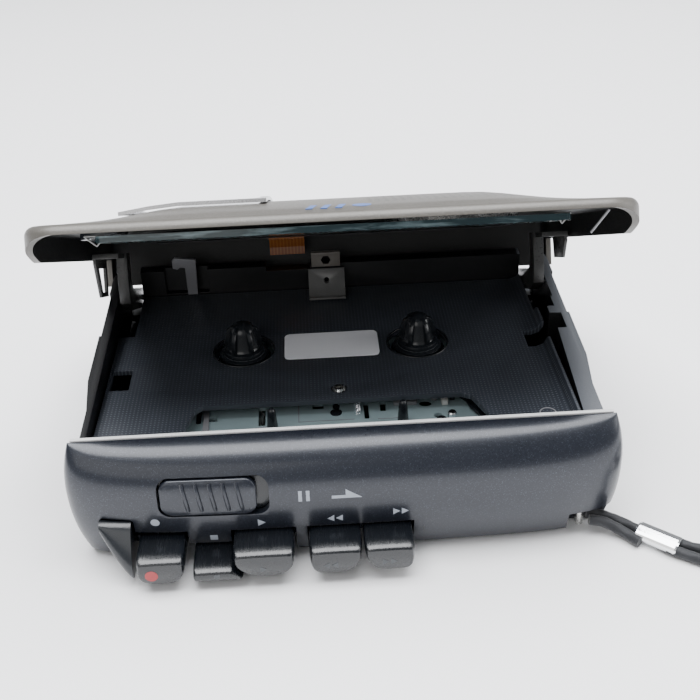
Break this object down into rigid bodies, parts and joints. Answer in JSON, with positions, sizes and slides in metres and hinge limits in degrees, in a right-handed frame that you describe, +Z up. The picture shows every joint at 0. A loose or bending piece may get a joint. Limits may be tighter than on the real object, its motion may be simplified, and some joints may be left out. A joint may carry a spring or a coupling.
{
  "type": "cassette dictation machine",
  "caption": "Handheld cassette dictation recorder lying on its back with its lid open, showing the deck, piano keys, pause slider and wrist strap.",
  "frame": {"origin": "middle of the case's flat base, on the surface it lies on", "axes": "+X along the long side to the strap's corner, -Y towards the keys, +Z up out of the deck"},
  "size_m": [0.1786, 0.1115, 0.0738],
  "materials": {
    "charcoal_paint": "fine metallic charcoal paint, semi-gloss",
    "black_plastic": "black, semi-gloss",
    "grey_plastic": "satin dark grey",
    "lid_grey": "warm grey paint, satin",
    "steel": "brushed",
    "bright_metal": "polished",
    "brass": "satin",
    "teal_paint": "teal-grey paint, satin",
    "rubber": "matt",
    "smoked_window": "smoked, glossy",
    "strap_black": "braided, matt",
    "board_green": "solder-masked board",
    "ribbon_amber": "amber film, glossy"
  },
  "bodies": {
    "case": {"bottom_case": "charcoal_paint", "middle_frame": "grey_plastic", "front_panel": "charcoal_paint", "trim_strip": "bright_metal", "key_guard": "black_plastic", "deck_plate": "black_plastic", "reflector_strip": "bright_metal", "deck_screw": "steel", "chassis_plate": "teal_paint", "guide_pin_left": "black_plastic", "guide_pin_right": "black_plastic", "cassette_leaf_spring": "steel", "leaf_spring_clip": "grey_plastic", "head_return_spring": "brass", "motor": "steel", "drive_belt": "rubber", "circuit_board": "board_green", "battery_spring": "steel", "earphone_jack": "black_plastic", "hinge_pin_left": "steel", "hinge_pin_right": "steel", "strap_post": "steel", "strap_bridle": "strap_black", "strap_ferrule": "bright_metal", "strap_lead": "strap_black", "strap_return": "strap_black", "strap_coil": "strap_black"},
    "lid": {"lid_shell": "lid_grey", "lid_window": "smoked_window", "window_trim": "bright_metal", "tape_counter": "black_plastic", "lid_crossbar": "smoked_window", "lid_liner": "grey_plastic", "speaker": "steel", "lid_arm_left": "grey_plastic", "lid_arm_right": "grey_plastic", "flat_cable": "ribbon_amber"},
    "counter_button": {"counter_button": "black_plastic"},
    "record_key": {"record_key": "black_plastic"},
    "stop_key": {"stop_key": "black_plastic"},
    "play_key": {"play_key": "black_plastic"},
    "rewind_key": {"rewind_key": "black_plastic"},
    "forward_key": {"forward_key": "black_plastic"},
    "pause_slider": {"pause_slider": "charcoal_paint"},
    "battery_door": {"battery_door": "charcoal_paint"},
    "pinch_roller_arm": {"pinch_roller_arm": "black_plastic"},
    "pinch_roller": {"pinch_roller": "rubber"},
    "motor_pulley": {"motor_pulley": "brass"},
    "idler_gear": {"idler_gear": "grey_plastic"},
    "volume_wheel": {"volume_wheel": "black_plastic"},
    "record_safety_lever": {"record_safety_lever": "grey_plastic"},
    "head_slide": {"head_slide": "steel", "record_play_head": "steel", "erase_head": "black_plastic"},
    "flywheel": {"flywheel": "steel", "capstan_shaft": "bright_metal"},
    "supply_reel": {"supply_reel_table": "black_plastic", "supply_spindle": "black_plastic"},
    "takeup_reel": {"takeup_reel_table": "black_plastic", "takeup_spindle": "black_plastic"}
  },
  "joints": [
    {"name": "lid_hinge", "type": "hinge", "parent": "case", "child": "lid", "pos_m": [0, 0.0425, 0.02], "axis": [1, 0, 0], "range_deg": [0, 30], "stiffness_Nm_per_rad": 0.06, "springref_deg": -68.75},
    {"name": "counter_reset", "type": "slide", "parent": "lid", "child": "counter_button", "axis": [0, -0.4462, -0.8949], "range_m": [0, 0.0008], "stiffness_N_per_m": 300, "springref_m": -0.002},
    {"name": "record_press", "type": "slide", "parent": "case", "child": "record_key", "axis": [0, 1, 0], "range_m": [0, 0.003], "stiffness_N_per_m": 400, "springref_m": -0.002},
    {"name": "stop_press", "type": "slide", "parent": "case", "child": "stop_key", "axis": [0, 1, 0], "range_m": [0, 0.003], "stiffness_N_per_m": 400, "springref_m": -0.002},
    {"name": "play_press", "type": "slide", "parent": "case", "child": "play_key", "axis": [0, 1, 0], "range_m": [0, 0.003], "stiffness_N_per_m": 400, "springref_m": -0.002},
    {"name": "rewind_press", "type": "slide", "parent": "case", "child": "rewind_key", "axis": [0, 1, 0], "range_m": [0, 0.003], "stiffness_N_per_m": 400, "springref_m": -0.002},
    {"name": "forward_press", "type": "slide", "parent": "case", "child": "forward_key", "axis": [0, 1, 0], "range_m": [0, 0.003], "stiffness_N_per_m": 400, "springref_m": -0.002},
    {"name": "pause_slide", "type": "slide", "parent": "case", "child": "pause_slider", "axis": [1, 0, 0], "range_m": [0, 0.002]},
    {"name": "battery_door_slide", "type": "slide", "parent": "case", "child": "battery_door", "axis": [0, 1, 0], "range_m": [0, 0.014]},
    {"name": "head_advance", "type": "slide", "parent": "case", "child": "head_slide", "axis": [0, 1, 0], "range_m": [0, 0.004]},
    {"name": "pinch_arm_swing", "type": "hinge", "parent": "case", "child": "pinch_roller_arm", "pos_m": [0.0345, -0.0306, 0.0185], "axis": [0, 0, -1], "range_deg": [0, 26]},
    {"name": "pinch_roller_spin", "type": "hinge", "parent": "pinch_roller_arm", "child": "pinch_roller", "pos_m": [0.0261, -0.03, 0.0198], "axis": [0, 0, 1], "continuous": true},
    {"name": "flywheel_spin", "type": "hinge", "parent": "case", "child": "flywheel", "pos_m": [0.0248, -0.0204, 0.003], "axis": [0, 0, 1], "continuous": true},
    {"name": "motor_spin", "type": "hinge", "parent": "case", "child": "motor_pulley", "pos_m": [-0.027, -0.014, 0.003], "axis": [0, 0, 1], "continuous": true},
    {"name": "supply_spin", "type": "hinge", "parent": "case", "child": "supply_reel", "pos_m": [-0.0227, 0.0075, 0.0186], "axis": [0, 0, 1], "continuous": true},
    {"name": "takeup_spin", "type": "hinge", "parent": "case", "child": "takeup_reel", "pos_m": [0.0199, 0.0075, 0.0186], "axis": [0, 0, 1], "continuous": true},
    {"name": "idler_spin", "type": "hinge", "parent": "case", "child": "idler_gear", "pos_m": [0.009, 0.0019, 0.0187], "axis": [0, 0, 1], "continuous": true},
    {"name": "volume_turn", "type": "hinge", "parent": "case", "child": "volume_wheel", "pos_m": [-0.0494, 0, 0.007], "axis": [0, 0, 1], "range_deg": [0, 270]},
    {"name": "safety_lever_tilt", "type": "hinge", "parent": "case", "child": "record_safety_lever", "pos_m": [-0.038, 0.0369, 0.0236], "axis": [-1, 0, 0], "range_deg": [0, 8], "stiffness_Nm_per_rad": 0.005, "springref_deg": -17.19}
  ],
  "couplings": [
    {"joint": "head_advance", "follows": "play_press", "ratio": 1.3333},
    {"joint": "pinch_arm_swing", "follows": "play_press", "rad_per_m": 151.26},
    {"joint": "motor_spin", "follows": "flywheel_spin", "ratio": 4.2727},
    {"joint": "idler_spin", "follows": "takeup_spin", "ratio": -1.2453}
  ]
}
